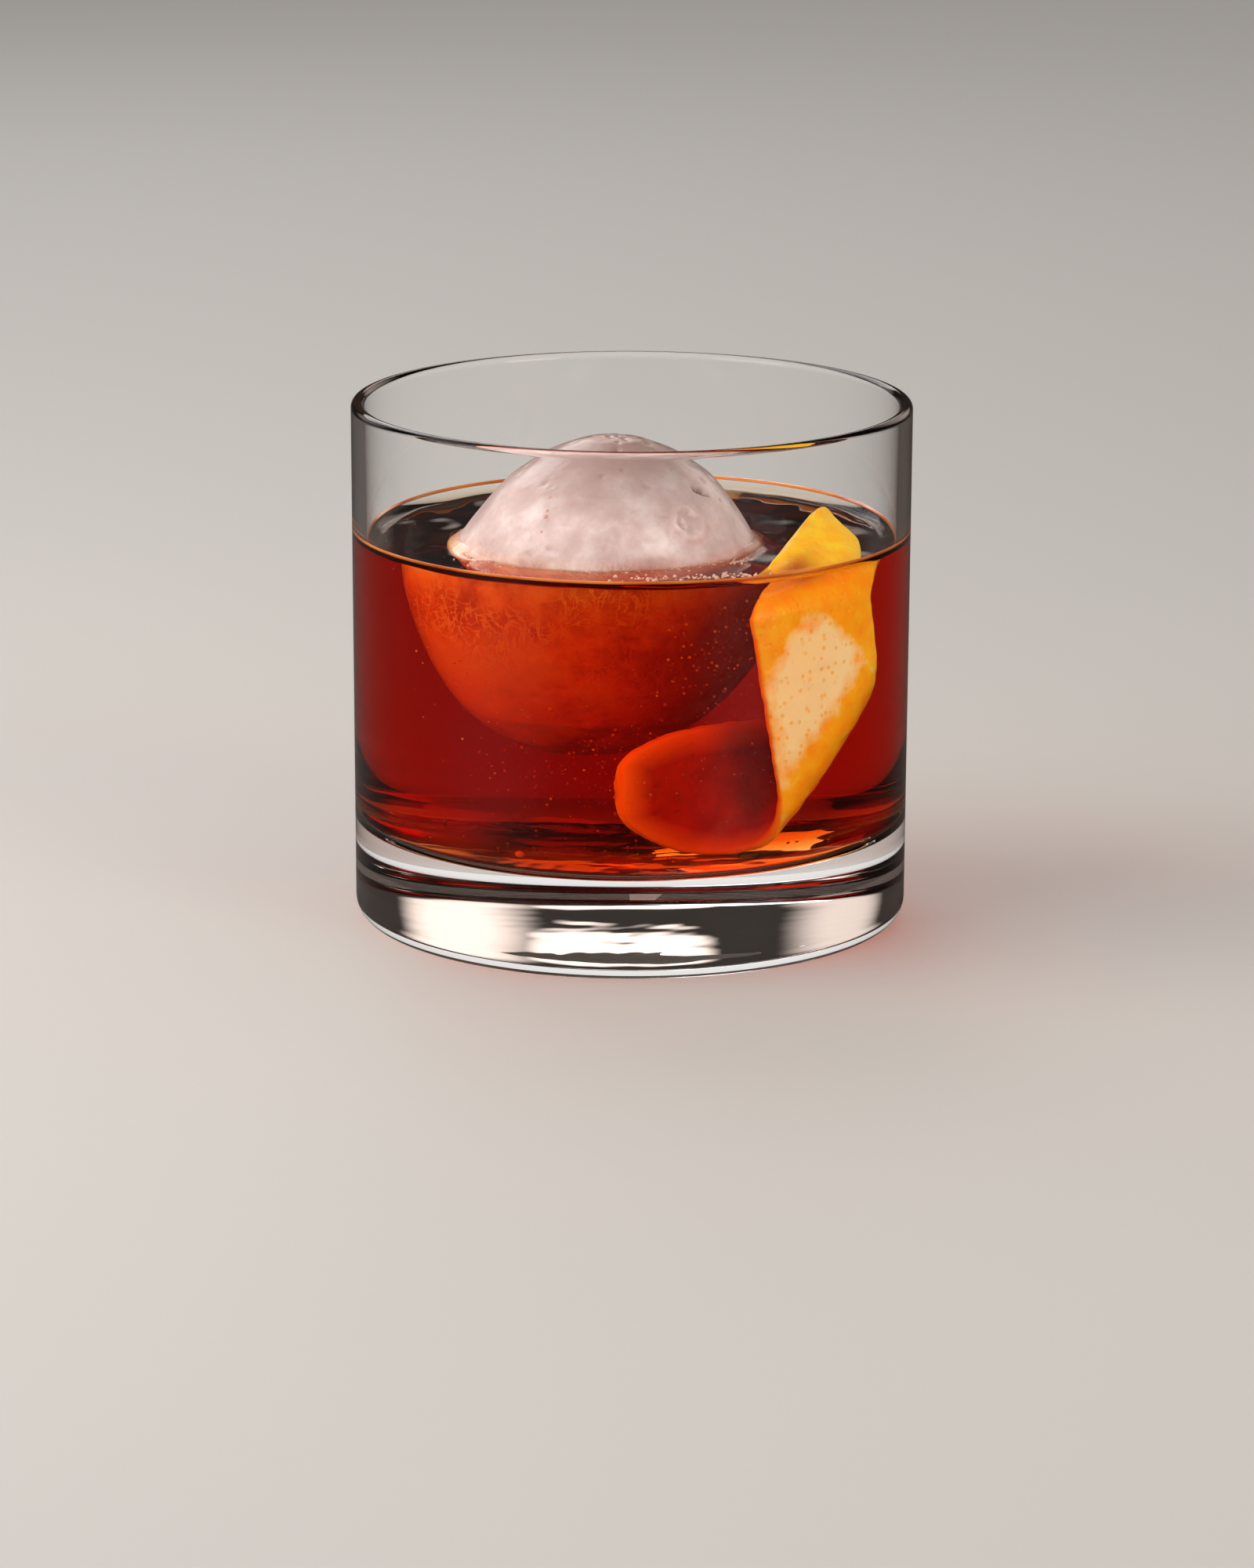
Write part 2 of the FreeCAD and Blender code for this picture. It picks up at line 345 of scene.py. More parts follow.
def peel_points(along, across, inward):
    """The strip bent back at the top and folded behind on a slant: mm from the tip, -1 to 1 across, mm in.

    Each bend is an arc about its own axis: its angle is the length past the bend's start over its radius, and
    what is past the arc runs on straight. The whole is then laid on the bow and turned to its azimuth.
    """
    half = peel_half_width(along)
    high = PEEL_TOP_LENGTH - along
    share = np.clip(high / PEEL_TOP_LENGTH, 0, 1)
    side = PEEL_SHIFT + across * half + np.where(high > 0, PEEL_TOP_DRIFT * share**1.5, -PEEL_TILT * high)
    shoulder = PEEL_SHOULDER * bell(along, PEEL_SHOULDER_AT, PEEL_SHOULDER_LENGTH)
    waist = PEEL_WAIST * bell(along, PEEL_WAIST_AT, PEEL_WAIST_LENGTH)
    side = side + (shoulder - waist) * np.clip(across, 0, 1)
    lift = np.where(high > 0, PEEL_TOP_LIFT * across * half * np.clip(high / 8, 0, 1), 0)
    up = PEEL_TOP_HEIGHT + high
    slant = math.radians(PEEL_FOLD_ANGLE)
    beyond = (side - PEEL_SHIFT) * math.sin(slant) - (up - PEEL_FOLD_HEIGHT) * math.cos(slant)
    folded = beyond > 0
    # slanting fold
    turn = np.clip(beyond / PEEL_FOLD_RADIUS, 0, np.pi)
    past = beyond - turn * PEEL_FOLD_RADIUS
    radius = PEEL_FOLD_RADIUS - inward
    move = radius * np.sin(turn) - past - beyond
    side_folded = side + move * math.sin(slant)
    up_folded = up - move * math.cos(slant) - PEEL_END_DROP * (along / PEEL_LENGTH) ** 6
    depth_folded = PEEL_FOLD_RADIUS - radius * np.cos(turn)
    # backward bend
    turn = np.clip(high / PEEL_TOP_RADIUS, 0, math.radians(PEEL_TOP_ANGLE))
    past = np.maximum(high - turn * PEEL_TOP_RADIUS, 0)
    radius = PEEL_TOP_RADIUS - inward
    depth_bent = PEEL_TOP_RADIUS - radius * np.cos(turn) + past * np.sin(turn)
    up_bent = PEEL_TOP_HEIGHT + radius * np.sin(turn) + past * np.cos(turn) + lift
    bent = (high > 0) & ~folded
    side = np.where(folded, side_folded, side)
    up = np.where(folded, up_folded, np.where(bent, up_bent, up))
    depth = np.where(folded, depth_folded, np.where(bent, depth_bent, inward)) + side**2 / (2 * PEEL_BOW)
    facing = math.radians(PEEL_AZIMUTH)
    away = PEEL_DISTANCE - depth
    return np.stack([
        away * math.cos(facing) - side * math.sin(facing),
        away * math.sin(facing) + side * math.cos(facing),
        up,
    ], axis=-1)


def orange_peel(rows=260, face_columns=44):
    """Closed tube round the strip's cut section: pith face, cut edge, rind face, cut edge."""
    face = np.linspace(-0.965, 0.965, face_columns)
    edge = [(0.99, 0.06), (1.0, 0.25), (1.004, 0.5), (1.0, 0.75), (0.985, 0.93)]
    section = (
        [(t, 0.0) for t in face] + edge + [(t, 1.0) for t in face[::-1]] + [(-t, h) for t, h in edge[::-1]]
    )
    across, inward = np.array(section).T
    along = np.linspace(0, 1, rows)
    along = PEEL_LENGTH * (along - 0.045 * np.sin(2 * np.pi * along))  # rows crowd at both ends
    along, across = np.meshgrid(along, across, indexing="ij")
    inward = np.repeat(inward[None], rows, axis=0)
    # the knife's edge wanders, and the pith face is lumpy
    edges = np.stack([along, np.sign(across) * 8 * (np.abs(across) > 0.9), inward * 0], axis=-1)
    ragged = 1 + uneven(edges, PEEL_EDGE_WAVES) * (np.abs(across) ** 4)
    lumps = uneven(np.stack([along, across * 10, inward * 3], axis=-1), PEEL_FACE_WAVES)
    thick = PEEL_THICKNESS * (1 - 0.35 * np.abs(across) ** 3)
    depth = PEEL_THICKNESS / 2 + (inward - 0.5) * thick + lumps * (1 - inward)
    points = peel_points(along, across * ragged, depth)
    piece = skin("orange_peel", points, points[0].mean(axis=0), points[-1].mean(axis=0))
    # distance from the cut edges, and on the pith face also from the fold; nearer on the left, where cream shows
    rim = np.minimum(peel_half_width(along) * (1 - np.abs(across)), PEEL_LENGTH - along)
    fold = before_fold(along, across)
    from_fold = np.where(fold > 0, fold, np.clip(-fold - 12, 0, 99)) + 0.9
    margin = np.minimum(rim + 2.0 * np.clip(-across * 2.5, 0, 1), from_fold)
    rim = np.where(inward < 0.5, margin, rim)
    # painted shade: a soft darker oval left of the middle, where the tip is bent back
    painted_shade = np.exp(-(((along - 10.5) / 3.0) ** 2) - ((across + 0.35) / 0.42) ** 2)
    for label, values in (
        ("rind", inward), ("rim", np.clip(rim, 0, 10) / 10), ("along", along / PEEL_LENGTH), ("painted_shade", painted_shade),
    ):
        ends = [values[0].mean(), values[-1].mean()]
        paint_points(piece, label, np.concatenate([values.reshape(-1), ends]))
    return piece


# ---------------------------------------------------------------- drink
def drink(segments=300):
    """Turned body just inside the glass wall, closed by a surface with faint waves. The surface climbs at the wall
    by its nearness to the power 2.2, and at the ice by e to the minus distance over reach."""
    bottom = FLOOR_HEIGHT - INTO_WALL
    floor = np.stack([np.linspace(0, CORNER[0], 12), np.full(12, bottom)], axis=1)
    bend = arc_points(CORNER, CORNER_RADIUS + INTO_WALL, -90, 0, 14)[1:]
    top = LEVEL + MENISCUS_RISE
    z = np.concatenate([[CORNER[1] + 0.05], np.linspace(CORNER[1], top - 0.05, 40)[1:], [top]])
    wall = np.stack([inner_radius(z) + INTO_WALL, z], axis=1)
    turn = around(segments)
    sides = swept_round(np.vstack([floor[1:], bend, wall]), turn)
    # rings crowd within 3.2 mm of the wall, where the surface climbs
    edge = wall[-1, 0]
    r = edge - np.concatenate([[0.03], np.linspace(0, 3.2, 36)[1:], np.linspace(3.2, edge - 0.4, 92)[1:]])
    x, y = r[:, None] * np.cos(turn), r[:, None] * np.sin(turn)
    wall_gap = np.clip((edge - INTO_WALL - r) / MENISCUS_REACH, 0, 1)[:, None]
    ice_gap = from_ice_axis(x, y, LEVEL) - ice_outline(np.array(LEVEL))
    climb = MENISCUS_RISE * (1 - wall_gap) ** 2.2 + 0 * x
    climb += ICE_CLIMB * np.exp(-np.clip(ice_gap, 0, 99) / ICE_CLIMB_REACH)
    # the waves die out at the wall and within 3 mm of the ice
    off_wall, off_ice = np.clip(wall_gap * 1.2 - 0.2, 0, 1), np.clip(ice_gap / 3, 0, 1)
    climb += uneven(np.stack([x, y, 0 * x], axis=-1), DRINK_WAVES) * off_wall * off_ice
    surface = np.stack([x, y, LEVEL + climb], axis=-1)
    return skin("drink", np.vstack([sides, surface]), (0, 0, bottom), surface[-1].mean(axis=0))


def meniscus_glow(segments=240):
    """Ring of bright amber at the drink's edge, a painted glow for light that runs along the meniscus: the section
    of a thin wedge of liquid that clings to the wall, carried round the inside radius."""
    low = LEVEL + MENISCUS_RISE - 0.12
    section = np.array([(0.08, 0.0), (0.08, 0.36), (0.0, 0.45), (-0.10, 0.34), (-0.22, 0.14), (-0.30, 0.0)])
    points = swept_round(section[::-1] + [inner_radius(low), low], around(segments))
    return skin("meniscus_glow", points, round_rows=True)


# ---------------------------------------------------------------- bubbles
# clouds of fine air, under the ball, on its right and on its left:
# middle, spread, count, then the shape and scale of the draw of sizes, least size added, greatest size
CLOUDS = (
    ((1.0, -20.0, 30.0), (9.0, 6.0, 4.0), 420, 1.4, 0.06, 0.04, 0.22),
    ((11.0, -25.0, 46.0), (5.0, 3.5, 5.0), 160, 1.6, 0.06, 0.05, 0.24),
    ((-20.0, -20.0, 45.0), (7.0, 6.0, 10.0), 120, 1.4, 0.05, 0.04, 0.2),
)
# middles of the four rafts of froth before the ice, and how many bubbles each has
RAFTS, RAFT_COUNT = ((3.0, -31.5), (9.5, -30.5), (15.5, -28.5), (18.5, -29.0)), 26
FROTH_COUNT, FLOOR_COUNT = 150, 26
# two larger bubbles, near the floor and under the ball
SINGLES = (((-14.8, -24.0, FLOOR_HEIGHT + 1.15), 0.7), ((-10.6, -24.2, 38.6), 0.38))
# melt beads on the crown of the ice: place and radius
BEADS = (
    ((-11.8, -17.5, 69.5), 0.2), ((-12.0, -18.6, 68.6), 0.32), ((-12.4, -20.4, 67.0), 0.22),
    ((-12.6, -21.0, 66.2), 0.34), ((-13.2, -22.3, 64.2), 0.24), ((-14.6, -21.4, 63.6), 0.22),
    ((-2.0, -21.6, 67.6), 0.2), ((-6.5, -23.4, 64.4), 0.16),
)
CLEAR_OF_WALL = 38.6


def ball_set(name, centres, radii, rings=6, sides=10):
    """One mesh of many small balls, each point its centre plus its radius times a point of the unit ball:
    sine of the polar angle times cosine and sine of the turn, then cosine of the polar angle."""
    polar, turn = np.linspace(0, np.pi, rings + 1)[1:-1, None], around(sides)
    unit = np.stack([
        np.sin(polar) * np.cos(turn), np.sin(polar) * np.sin(turn), np.repeat(np.cos(polar), sides, axis=1),
    ], axis=-1).reshape(-1, 3)
    unit = np.vstack([unit, [0, 0, 1], [0, 0, -1]])
    index = np.arange((rings - 1) * sides).reshape(rings - 1, sides)
    after = np.roll(index, -1, axis=1)
    quads = np.stack([index[:-1], index[1:], after[1:], after[:-1]], axis=-1).reshape(-1, 4)
    top, bottom = np.full(sides, len(unit) - 2), np.full(sides, len(unit) - 1)
    triangles = np.vstack([
        np.stack([index[0], after[0], top], axis=-1), np.stack([after[-1], index[-1], bottom], axis=-1),
    ])
    vertices = (centres[:, None] + radii[:, None, None] * unit[None]).reshape(-1, 3)
    shift = (np.arange(len(radii)) * len(unit))[:, None, None]
    faces = (quads[None] + shift).reshape(-1, 4).tolist() + (triangles[None] + shift).reshape(-1, 3).tolist()
    mesh = bpy.data.meshes.new(name)
    mesh.from_pydata((vertices * MM).tolist(), [], faces)
    return show(name, mesh)


def bubbles():
    """Froth along the front of the ice at the surface and in rafts before it, clouds of fine air in the drink,
    a few bubbles on the floor, and a row of melt beads down the left of the crown."""
    # the froth lies from 205 to 330 degrees round the ball and thins outwards
    turn = np.radians(chance.uniform(205, 330, FROTH_COUNT))
    reach = ice_outline(np.array(LEVEL)) + 0.9 + chance.gamma(1.5, 0.8, FROTH_COUNT)
    froth = np.stack([
        ICE_X + reach * np.cos(turn), ICE_Y + reach * np.sin(turn) * ICE_DEPTH_RATIO,
        LEVEL - chance.uniform(-0.1, 0.4, FROTH_COUNT),
    ], axis=1)
    sets = [(froth, chance.uniform(0.10, 0.28, FROTH_COUNT))]
    rafts = chance.normal(RAFTS, [[2.6, 1.0]] * len(RAFTS), (RAFT_COUNT, len(RAFTS), 2)).reshape(-1, 2)
    sizes = np.minimum(chance.gamma(2.2, 0.07, len(rafts)) + 0.05, 0.36)
    sets.append((np.column_stack([rafts, np.full(len(rafts), LEVEL + 0.1)]), sizes))
    for middle, spread, count, shape, scale, least, greatest in CLOUDS:
        places = chance.normal(middle, spread, (count, 3))
        sets.append((places, np.minimum(chance.gamma(shape, scale, count) + least, greatest)))
    floor = np.stack([
        chance.uniform(-26, 26, FLOOR_COUNT), chance.uniform(-30, 10, FLOOR_COUNT),
        np.full(FLOOR_COUNT, FLOOR_HEIGHT + 0.35),
    ], axis=1)
    sets.append((floor, chance.uniform(0.10, 0.26, FLOOR_COUNT)))
    sets.append(tuple(np.array(part) for part in zip(*SINGLES)))
    centres, radii = (np.concatenate(parts) for parts in zip(*sets))
    # those in the glass, in the ice or out of the drink are dropped
    x, y, z = centres.T
    within = np.hypot(x, y) + radii < CLEAR_OF_WALL
    within &= (z - radii > FLOOR_HEIGHT - 0.2) & (z < LEVEL + 0.2)
    within &= from_ice_axis(x, y, z) > ice_outline(z) + 0.1
    bead_places, bead_radii = zip(*BEADS)
    centres = np.vstack([centres[within], bead_places])
    return ball_set("bubbles", centres, np.concatenate([radii[within], bead_radii]))


# ---------------------------------------------------------------- materials
def linear(text):
    """sRGB hex to linear RGBA."""
    channel = np.array([int(text[i:i + 2], 16) for i in (1, 3, 5)]) / 255
    value = np.where(channel <= 0.04045, channel / 12.92, ((channel + 0.055) / 1.055) ** 2.4)
    return (*value.tolist(), 1.0)


def add(tree, kind, settings=None, inputs=None, links=None, stops=None):
    """Adds a node with its properties, its socket values, its links as (node, output), and its colour stops."""
    node = tree.nodes.new(kind)
    for key, value in (settings or {}).items():
        setattr(node, key, value)
    for key, value in (inputs or {}).items():
        node.inputs[key].default_value = value
    for key, (source, output) in (links or {}).items():
        tree.links.new(source.outputs[output], node.inputs[key])
    for number, (place, colour) in enumerate(stops or []):
        ends = node.color_ramp.elements
        stop = ends[number] if number < 2 else ends.new(place)
        stop.position = place
        stop.color = linear(colour) if isinstance(colour, str) else (colour, colour, colour, 1)
    return node


def material(name):
    """New material with an empty node tree."""
    new = bpy.data.materials.new(name)
    new.use_nodes = True
    new.node_tree.nodes.clear()
    return new, new.node_tree


def let_lamps_through(tree, shader):
    """Lamps shine through a clear surface instead of being stopped at it."""
    path = add(tree, "ShaderNodeLightPath")
    clear = add(tree, "ShaderNodeBsdfTransparent")
    return add(tree, "ShaderNodeMixShader", links={0: (path, "Is Shadow Ray"), 1: (shader, 0), 2: (clear, 0)})


def soda_glass():
    """Pressed and fire-polished soda-lime glass: colourless, smooth, with a faint waviness."""
    new, tree = material("soda_lime_glass")
    place = add(tree, "ShaderNodeTexCoord")
    # the mould's waves are 22 mm long, and show only as a slight bend in what is mirrored
    wave = add(tree, "ShaderNodeTexNoise", inputs={"Scale": 1 / (22 * MM), "Detail": 1.0}, links={
        "Vector": (place, "Object"),
    })
    bump = add(tree, "ShaderNodeBump", inputs={"Strength": 0.05, "Distance": 0.35 * MM}, links={
        "Height": (wave, "Fac"),
    })
    shader = add(tree, "ShaderNodeBsdfPrincipled", inputs={
        "Base Color": linear("#FFFFFF"), "Roughness": 0.0, "IOR": 1.5, "Specular Tint": linear("#A0A0A0"),
        "Transmission Weight": 1.0,
    }, links={"Normal": (bump, 0)})
    mix = let_lamps_through(tree, shader)
    add(tree, "ShaderNodeOutputMaterial", links={"Surface": (mix, 0)})
    return new


def whiskey_drink():
    """Whiskey with vermouth and bitters: clear, amber where it is thin, deep red in the depth."""
    new, tree = material("whiskey_and_bitters")
    shader = add(tree, "ShaderNodeBsdfPrincipled", inputs={
        "Base Color": linear("#FFFFFF"), "Roughness": 0.0, "IOR": 1.35, "Specular Tint": linear("#505050"),
        "Transmission Weight": 1.0,
    })
    # a metre of it would dim red by 14, green by 92 and blue by 205: the density times one less the colour
    depth = add(tree, "ShaderNodeVolumeAbsorption", inputs={"Color": linear("#F8CB59"), "Density": 228.0})
    mix = let_lamps_through(tree, shader)
    add(tree, "ShaderNodeOutputMaterial", links={"Surface": (mix, 0), "Volume": (depth, 0)})
    return new


def glowing_amber():
    """Painted glow of the drink where it is thinnest: bright amber for light that runs along the meniscus, wet and
    smooth.
    """
    new, tree = material("painted_glow_amber_edge")
    place = add(tree, "ShaderNodeTexCoord")
    drift = add(tree, "ShaderNodeTexNoise", inputs={"Scale": 1 / (14 * MM), "Detail": 2.0}, links={
        "Vector": (place, "Object"),
    })
    tone = add(tree, "ShaderNodeValToRGB", links={"Fac": (drift, "Fac")}, stops=[
        (0.35, "#D0581A"), (0.65, "#FF9A3C"),
    ])
    shader = add(tree, "ShaderNodeBsdfPrincipled", inputs={
        "Roughness": 0.1, "IOR": 1.35, "Transmission Weight": 0.35,
    }, links={"Base Color": (tone, 0)})
    add(tree, "ShaderNodeOutputMaterial", links={"Surface": (shader, 0)})
    return new


def melting_ice():
    """Cloudy ice with a wet skin: light spreads inside, and frost threads and clouds show paler."""
    new, tree = material("cloudy_wet_ice")
    place = add(tree, "ShaderNodeTexCoord")
    height = add(tree, "ShaderNodeSeparateXYZ", links={0: (place, "Object")})

    # frost threads: thin ridges where a tangled noise, drawn out one way and then another, crosses its middle.
    # Real ones are as fine as hairs, and these are drawn about 0.2 mm wide, so that they show
    threads = None
    for turned_by, stretch in (((0.5, 0.3, 0.9), (1.0, 0.4, 1.0)), ((-0.4, 1.1, -0.7), (1.0, 1.0, 0.35))):
        lie = add(tree, "ShaderNodeMapping", inputs={"Rotation": turned_by, "Scale": stretch}, links={
            "Vector": (place, "Object"),
        })
        tangle = add(tree, "ShaderNodeTexNoise", inputs={
            "Scale": 1 / (2.6 * MM), "Detail": 3.0, "Roughness": 0.5, "Distortion": 1.6,
        }, links={"Vector": (lie, 0)})
        middle = add(tree, "ShaderNodeMath", {"operation": "SUBTRACT"}, {1: 0.5}, {0: (tangle, "Fac")})
        off = add(tree, "ShaderNodeMath", {"operation": "ABSOLUTE"}, links={0: (middle, 0)})
        line = add(tree, "ShaderNodeValToRGB", links={"Fac": (off, 0)}, stops=[
            (0.0, 1.0), (0.008, 1.0), (0.03, 0.0),
        ])
        threads = line if threads is None else add(tree, "ShaderNodeMath", {"operation": "MAXIMUM"}, links={
            0: (threads, 0), 1: (line, 0),
        })

    # they lie in patches 13 mm across, under the surface, most of them high on the left
    patch = add(tree, "ShaderNodeTexNoise", inputs={"Scale": 1 / (13 * MM), "Detail": 3.0}, links={
        "Vector": (place, "Object"),
    })
    where = add(tree, "ShaderNodeValToRGB", links={"Fac": (patch, "Fac")}, stops=[(0.40, 0.0), (0.56, 1.0)])
    sunk = add(tree, "ShaderNodeMapRange", inputs={"From Min": 61 * MM, "From Max": 57 * MM}, links={
        "Value": (height, "Z"),
    })
    thin = add(tree, "ShaderNodeMath", {"operation": "MULTIPLY"}, links={0: (threads, 0), 1: (sunk, 0)})
    left = add(tree, "ShaderNodeMapRange", inputs={
        "From Min": 8 * MM, "From Max": -8 * MM, "To Min": 0.1,
    }, links={"Value": (height, "X")})
    high = add(tree, "ShaderNodeMapRange", inputs={
        "From Min": 38 * MM, "From Max": 47 * MM, "To Min": 0.1,
    }, links={"Value": (height, "Z")})
    where = add(tree, "ShaderNodeMath", {"operation": "MULTIPLY"}, links={0: (where, 0), 1: (left, 0)})
    where = add(tree, "ShaderNodeMath", {"operation": "MULTIPLY"}, links={0: (where, 0), 1: (high, 0)})
    vein = add(tree, "ShaderNodeMath", {"operation": "MULTIPLY"}, links={0: (thin, 0), 1: (where, 0)})

    # out of the drink: grey-white with 9 mm clouds, and painted shade that darkens it towards the crown
    cloud = add(tree, "ShaderNodeTexNoise", inputs={
        "Scale": 1 / (9 * MM), "Detail": 6.0, "Roughness": 0.62,
    }, links={"Vector": (place, "Object")})
    body = add(tree, "ShaderNodeValToRGB", links={"Fac": (cloud, "Fac")}, stops=[
        (0.3, "#B69B95"), (0.5, "#CFB6B1"), (0.72, "#EDE0DD"),
    ])
    # painted shade: darker from 66 mm up to the top of the crown
    crown_shade = add(tree, "ShaderNodeMapRange", inputs={"From Min": 66 * MM, "From Max": 75 * MM}, links={
        "Value": (height, "Z"),
    })
    body = add(tree, "ShaderNodeMix", {"data_type": "RGBA"}, {7: linear("#A4867E")}, {
        0: (crown_shade, 0), 6: (body, 0),
    })

    # in the drink: paler than out of it, partly frost and partly painted glow; a painted glow whitens the low left
    # flank, painted shade turns the right dark red, warmer between threads
    frost_and_painted_light = add(tree, "ShaderNodeValToRGB", links={"Fac": (cloud, "Fac")}, stops=[
        (0.34, "#CC8468"), (0.50, "#F6C8AC"), (0.66, "#FFF8F0"),
    ])
    # painted shade: the right side, away from the lamps, turns dark red
    clear = add(tree, "ShaderNodeMapRange", inputs={
        "From Min": -6 * MM, "From Max": 16 * MM, "To Max": 0.8,
    }, links={"Value": (height, "X")})
    frost_and_painted_light = add(tree, "ShaderNodeMix", {"data_type": "RGBA"}, {7: linear("#B03A26")}, {
        0: (clear, 0), 6: (frost_and_painted_light, 0),
    })
    patchy = add(tree, "ShaderNodeMath", {"operation": "MULTIPLY"}, {1: 0.6}, {0: (where, 0)})
    frost_and_painted_light = add(tree, "ShaderNodeMix", {"data_type": "RGBA"}, {7: linear("#C4704E")}, {
        0: (patchy, 0), 6: (frost_and_painted_light, 2),
    })
    # painted glow: the low left flank, towards the lamps, turns near white
    left_glow = add(tree, "ShaderNodeMapRange", inputs={
        "From Min": -6 * MM, "From Max": -18 * MM, "To Max": 0.9,
    }, links={"Value": (height, "X")})
    low = add(tree, "ShaderNodeMapRange", inputs={"From Min": 50 * MM, "From Max": 43 * MM}, links={
        "Value": (height, "Z"),
    })
    left_glow = add(tree, "ShaderNodeMath", {"operation": "MULTIPLY"}, links={0: (left_glow, 0), 1: (low, 0)})
    frost_and_painted_light = add(tree, "ShaderNodeMix", {"data_type": "RGBA"}, {7: linear("#FFF8EE")}, {
        0: (left_glow, 0), 6: (frost_and_painted_light, 2),
    })
    # under the drink the paler frost and painted glow take over from the dome's colours
    deep = add(tree, "ShaderNodeMix", {"data_type": "RGBA"}, links={0: (sunk, 0), 6: (body, 2), 7: (frost_and_painted_light, 2)})

    # white threads over it, and painted shade in the hollows of the nick
    colour = add(tree, "ShaderNodeMix", {"data_type": "RGBA"}, {7: linear("#FFFFFF")}, {
        0: (vein, 0), 6: (deep, 2),
    })
    hollow_shade = add(tree, "ShaderNodeAttribute", {"attribute_name": "hollow_shade"})
    colour = add(tree, "ShaderNodeMix", {"data_type": "RGBA"}, {7: linear("#5A3428")}, {
        0: (hollow_shade, "Fac"), 6: (colour, 2),
    })

    # melting leaves a skin of soft 1 mm grain under a film of water
    grain = add(tree, "ShaderNodeTexNoise", inputs={"Scale": 1 / (1.1 * MM), "Detail": 4.0}, links={
        "Vector": (place, "Object"),
    })
    rise = add(tree, "ShaderNodeMath", {"operation": "MULTIPLY_ADD"}, {1: 0.4}, {0: (vein, 0), 2: (grain, "Fac")})
    bump = add(tree, "ShaderNodeBump", inputs={"Strength": 0.35, "Distance": 0.25 * MM}, links={
        "Height": (rise, 0),
    })
    shader = add(tree, "ShaderNodeBsdfPrincipled", inputs={
        "Roughness": 0.28, "IOR": 1.31, "Subsurface Weight": 0.75, "Subsurface Radius": (1.0, 0.62, 0.55),
        "Subsurface Scale": 5 * MM, "Coat Weight": 0.4, "Coat Roughness": 0.18, "Coat IOR": 1.31,
    }, links={"Base Color": (colour, 2), "Normal": (bump, 0)})
    add(tree, "ShaderNodeOutputMaterial", links={"Surface": (shader, 0)})
    return new


